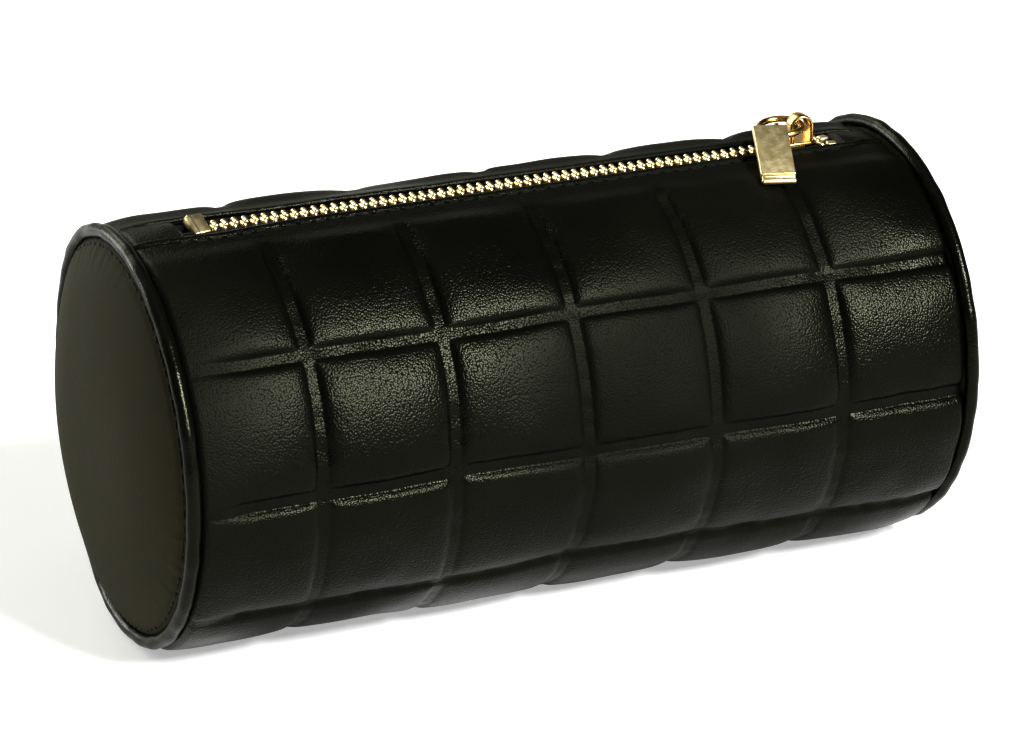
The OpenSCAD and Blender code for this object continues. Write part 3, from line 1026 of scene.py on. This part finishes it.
# the tag's own axes: across it, up its length, and out of its face
TAG_ACROSS = np.array([math.cos(TAG_TURN), -math.sin(TAG_TURN), 0])
TAG_BACK = np.array([math.cos(TAG_SLOPE) * math.sin(TAG_TURN),
                     math.cos(TAG_SLOPE) * math.cos(TAG_TURN), math.sin(TAG_SLOPE)])
TAG_OUT = np.cross(TAG_ACROSS, TAG_BACK)
tag_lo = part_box("pull_tag")[0] / MM


def tag_top():
    """Middle of the tag's top edge, so that the tag's low corner is that of its CAD box."""
    corners = np.array([a * TAG_ACROSS * TAG_W / 2 + s * TAG_OUT * TAG_T / 2 - TAG_BACK * TAG_L
                        for a in (-1, 1) for s in (-1, 1)])
    return np.array(tag_lo[:]) - corners.min(axis=0)


def build_tag():
    """Brushed plate with a groove and a rolled lip at its lower end, and the loop behind it."""
    top = tag_top()
    parts = []

    def place(verts, across, along, out):
        v = verts + np.array([across, along, out])
        return top + v[:, :1] * TAG_ACROSS + v[:, 1:2] * TAG_BACK + v[:, 2:] * TAG_OUT

    slab_l = TAG_L - TAG_LIP - TAG_GROOVE
    slab, slab_faces = bevelled_box((TAG_W, slab_l, TAG_T - 0.1), 0.22, 4)
    parts.append((place(slab, 0, -slab_l / 2, 0.05), slab_faces))
    waist, waist_faces = bevelled_box((TAG_W - 0.3, 1.5, TAG_T - 0.75), 0.15)
    parts.append((place(waist, 0, -(TAG_L - TAG_LIP - 0.45), 0), waist_faces))
    bar, bar_faces = capsule(TAG_W - 0.7, 0.24, segments=16, rings=5)
    parts.append((place(bar, 0.2, -(TAG_L - TAG_LIP - 0.2), TAG_T / 2 - 0.3), bar_faces))
    lip, lip_faces = bevelled_box((TAG_W, TAG_LIP, TAG_T - 0.45), 0.5, 6)
    parts.append((place(lip, 0, -(TAG_L - TAG_LIP / 2), 0.05), lip_faces))
    tag = merge("pull_tag_plate", parts)
    finish_piece(tag, "pull_metal", brushed_gold, "pull_tag")
    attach(tag, "tag")
    loop_axis = np.array(tag_joint["axis"], float)
    up = TAG_OUT - loop_axis * (TAG_OUT @ loop_axis)
    up /= np.linalg.norm(up)
    side = np.cross(loop_axis, up)
    loop = torus("pull_tag_loop", RING_POINT + 0.5 * TAG_OUT, side, up, 1.75, 0.45, 48)
    finish_piece(loop, "pull_metal", polished_gold, "pull_tag")
    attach(loop, "tag")


build_tag()


# ---------------------------------------------------------------- floor, light and camera

FLOOR_GLOW = 0.5       # the floor glows a little, so it stays pale
CAMERA_AWAY = 0.865    # distance of the camera, in m


def build_stage():
    reach = 3.0
    mesh = bpy.data.meshes.new("floor")
    mesh.from_pydata([(-reach, -reach, 0), (reach, -reach, 0), (reach, reach, 0),
                      (-reach, reach, 0)], [], [(0, 1, 2, 3)])
    floor = bpy.data.objects.new("floor", mesh)
    bpy.context.scene.collection.objects.link(floor)
    material, nodes, links = new_material("pale_floor")
    bsdf = shader(nodes)
    bsdf.inputs["Base Color"].default_value = (0.62, 0.62, 0.62, 1)
    bsdf.inputs["Roughness"].default_value = 0.9
    bsdf.inputs["Specular IOR Level"].default_value = 0.1
    bsdf.inputs["Emission Color"].default_value = (1, 1, 1, 1)
    bsdf.inputs["Emission Strength"].default_value = FLOOR_GLOW
    floor.data.materials.append(material)


def area_light(name, direction, distance, size, power, colour=(1, 1, 1)):
    """Soft rectangular light that faces the case; distance and size in m, power in W."""
    data = bpy.data.lights.new(name, "AREA")
    data.shape = "RECTANGLE"
    data.size, data.size_y = size
    data.energy = power
    data.color = colour
    light = bpy.data.objects.new(name, data)
    light.location = Vector(direction).normalized() * distance + Vector((0, 0, AXIS_Z * MM))
    light.rotation_euler = (-Vector(direction)).to_track_quat("-Z", "Y").to_euler()
    bpy.context.scene.collection.objects.link(light)


def build_lights():
    world = bpy.data.worlds.new("studio")
    bpy.context.scene.world = world
    world.use_nodes = True
    world.node_tree.nodes["Background"].inputs["Color"].default_value = (1, 1, 1, 1)
    world.node_tree.nodes["Background"].inputs["Strength"].default_value = 0.04
    area_light("key_softbox", (0.28, -0.79, 0.60), 1.5, (0.32, 0.40), 66)
    area_light("top_softbox", (-0.1, 0.1, 1.0), 1.8, (1.8, 1.8), 5)
    area_light("rear_softbox", (-0.25, 0.75, 0.6), 1.6, (1.0, 0.6), 13, (1.0, 1.0, 0.85))
    area_light("side_softbox", (-0.6, 0.78, 0.22), 1.5, (0.6, 0.6), 16)
    area_light("backdrop", (0.3, 0.93, 0.26), 1.8, (2.4, 0.9), 4, (1.0, 1.0, 0.85))


def build_camera():
    azimuth, elevation = math.radians(-23.93), math.radians(20.69)
    back = Vector((math.sin(azimuth) * math.cos(elevation),
                   -math.cos(azimuth) * math.cos(elevation), math.sin(elevation)))
    aim = Vector((0.1, 0, AXIS_Z + 0.1)) * MM
    data = bpy.data.cameras.new("camera")
    data.sensor_width = 36
    data.lens = 154.3
    camera = bpy.data.objects.new("camera", data)
    camera.location = aim + back * CAMERA_AWAY
    camera.rotation_euler = back.to_track_quat("Z", "Y").to_euler()
    bpy.context.scene.collection.objects.link(camera)
    bpy.context.scene.camera = camera


build_stage()
build_lights()
build_camera()
bpy.context.scene.view_settings.view_transform = "Standard"
bpy.context.scene.view_settings.gamma = 0.74
